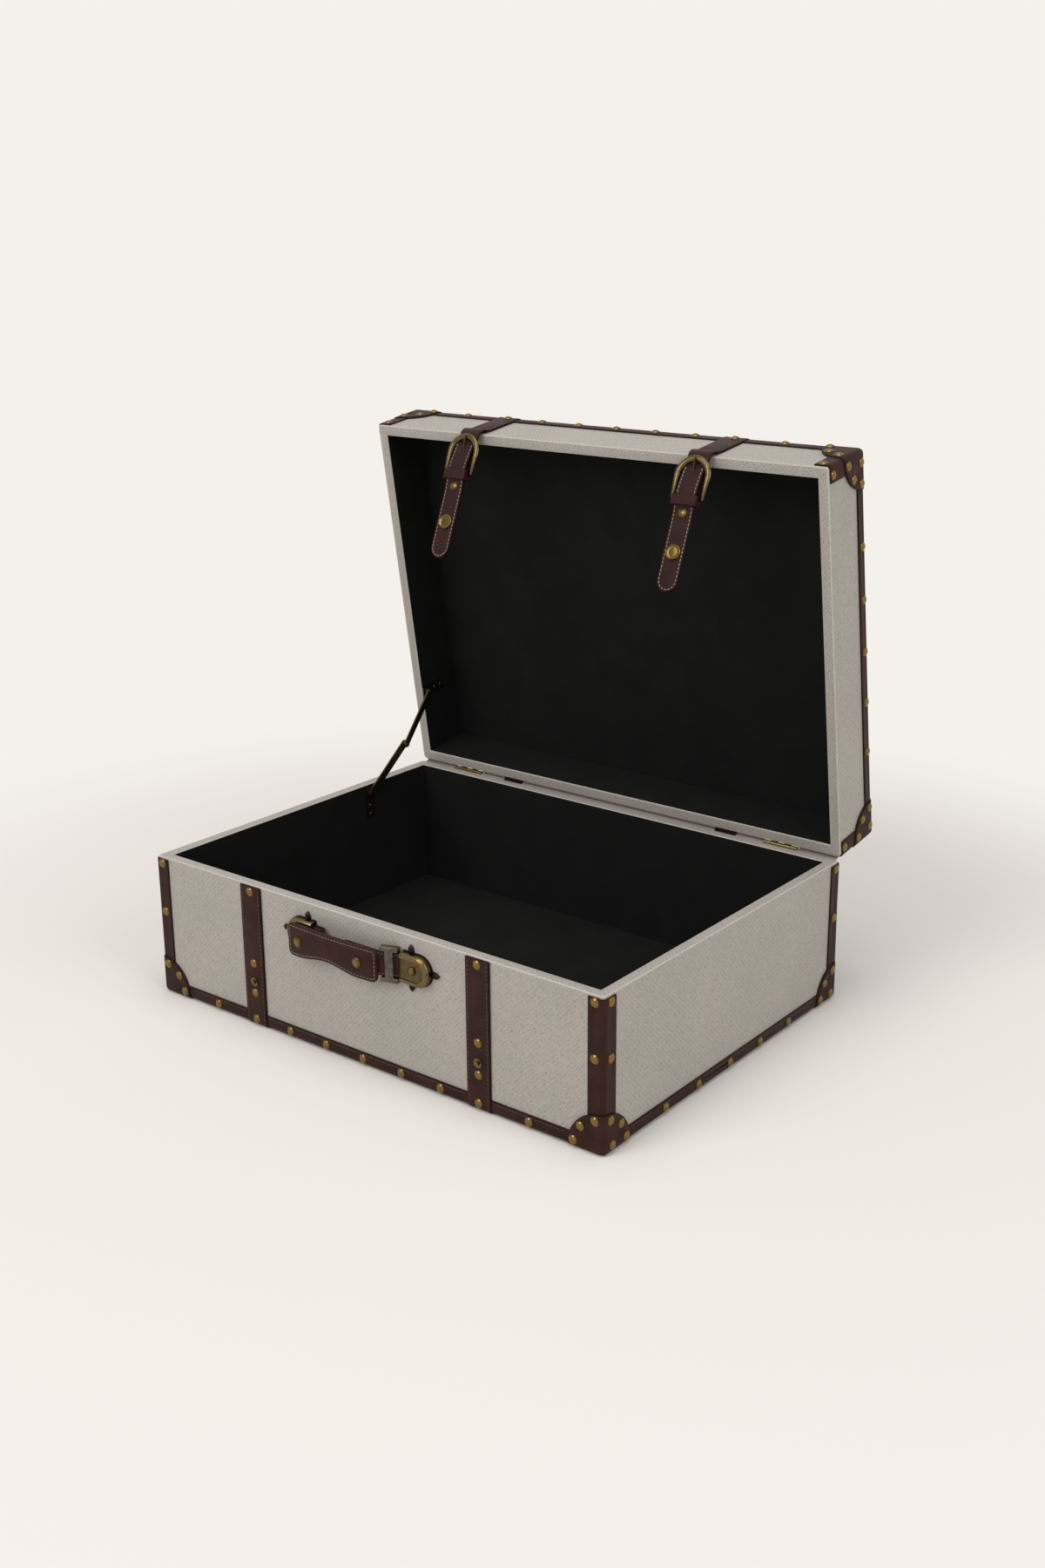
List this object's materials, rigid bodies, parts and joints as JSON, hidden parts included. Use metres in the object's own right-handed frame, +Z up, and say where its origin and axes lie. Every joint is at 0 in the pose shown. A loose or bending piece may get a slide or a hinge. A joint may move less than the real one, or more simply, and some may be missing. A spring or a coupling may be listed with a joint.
{
  "type": "storage trunk",
  "caption": "Suitcase-style storage trunk with a hinged lid held by a folding stay, buckled leather straps, corner caps and a carrying handle.",
  "frame": {"origin": "middle of the box's footprint, on the plane of the four corner caps that it stands on", "axes": "+Z up, +X to the right along the length, -Y towards the front with the handle"},
  "size_m": [0.5698, 0.4885, 0.564],
  "materials": {
    "board": "plain fibreboard",
    "covering": "grey-beige coated cloth with a fine diagonal basket-weave emboss",
    "lining": "black non-woven lining",
    "leather": "dark brown leather with pale stitching",
    "brass": "antique brass",
    "dark_brass": "darkened brass",
    "dark_metal": "dark bronze"
  },
  "bodies": {
    "base": {"base_front_panel": "board", "base_back_panel": "board", "base_left_panel": "board", "base_right_panel": "board", "base_bottom_board": "board", "base_cover": "covering", "base_lining": "lining", "base_edge_trim": "leather", "base_corner_strips": "leather", "base_corner_caps": "leather", "base_nails": "brass", "base_screws": "brass", "left_base_strap": "leather", "right_base_strap": "leather", "snap_studs": "dark_metal", "hinge_base_leaves": "brass", "hinge_pins": "brass", "stay_base_bracket": "dark_brass", "handle_end_plates": "brass", "handle_end_caps": "brass", "handle_cap_rivets": "brass", "handle_plate_pins": "brass", "handle_left_tab": "leather", "handle_right_tab": "leather", "handle_slider": "brass"},
    "lid": {"lid_front_panel": "board", "lid_back_panel": "board", "lid_left_panel": "board", "lid_right_panel": "board", "lid_top_board": "board", "lid_cover": "covering", "lid_lining": "lining", "lid_edge_trim": "leather", "lid_corner_strips": "leather", "lid_corner_caps": "leather", "lid_nails": "brass", "lid_screws": "brass", "left_lid_strap": "leather", "right_lid_strap": "leather", "hinge_lid_leaves": "brass", "stay_lid_bracket": "dark_brass"},
    "handle": {"handle_grip": "leather", "handle_grip_rivets": "brass"},
    "stay_lower": {"stay_lower_arm": "dark_brass"},
    "stay_upper": {"stay_upper_arm": "dark_brass"},
    "left_buckle": {"left_strap_end": "leather", "left_buckle_frame": "brass", "left_buckle_prong": "brass"},
    "left_tongue": {"left_tongue": "leather", "left_keeper": "leather", "left_tongue_rivet": "brass", "left_snap_cap": "brass"},
    "right_buckle": {"right_strap_end": "leather", "right_buckle_frame": "brass", "right_buckle_prong": "brass"},
    "right_tongue": {"right_tongue": "leather", "right_keeper": "leather", "right_tongue_rivet": "brass", "right_snap_cap": "brass"}
  },
  "joints": [
    {"name": "lid_hinge", "type": "hinge", "parent": "base", "child": "lid", "pos_m": [0, 0.2039, 0.1499], "axis": [1, 0, 0], "range_deg": [0, 81.3]},
    {"name": "handle_pull", "type": "slide", "parent": "base", "child": "handle", "axis": [0, -1, 0], "range_m": [0, 0.026]},
    {"name": "stay_lower_turn", "type": "hinge", "parent": "base", "child": "stay_lower", "pos_m": [-0.269, 0.097, 0.138], "axis": [1, 0, 0], "range_deg": [-61.71, 0]},
    {"name": "stay_elbow_turn", "type": "hinge", "parent": "stay_lower", "child": "stay_upper", "pos_m": [-0.269, 0.15475, 0.18427], "axis": [1, 0, 0], "range_deg": [0, 146.06]},
    {"name": "left_strap_fold", "type": "hinge", "parent": "lid", "child": "left_buckle", "pos_m": [-0.1435, 0.14169, 0.55444], "axis": [1, 0, 0], "range_deg": [-61.81, 0]},
    {"name": "left_tongue_swing", "type": "hinge", "parent": "left_buckle", "child": "left_tongue", "pos_m": [-0.1435, 0.11698, 0.51265], "axis": [1, 0, 0], "range_deg": [-35, 6.5]},
    {"name": "right_strap_fold", "type": "hinge", "parent": "lid", "child": "right_buckle", "pos_m": [0.1435, 0.14169, 0.55444], "axis": [1, 0, 0], "range_deg": [-61.81, 0]},
    {"name": "right_tongue_swing", "type": "hinge", "parent": "right_buckle", "child": "right_tongue", "pos_m": [0.1435, 0.11698, 0.51265], "axis": [1, 0, 0], "range_deg": [-35, 6.5]}
  ],
  "couplings": [
    {"joint": "stay_lower_turn", "follows": "lid_hinge", "ratio": -0.75889},
    {"joint": "stay_elbow_turn", "follows": "lid_hinge", "ratio": 1.7964},
    {"joint": "left_strap_fold", "follows": "lid_hinge", "ratio": -0.76015},
    {"joint": "right_strap_fold", "follows": "lid_hinge", "ratio": -0.76015}
  ]
}
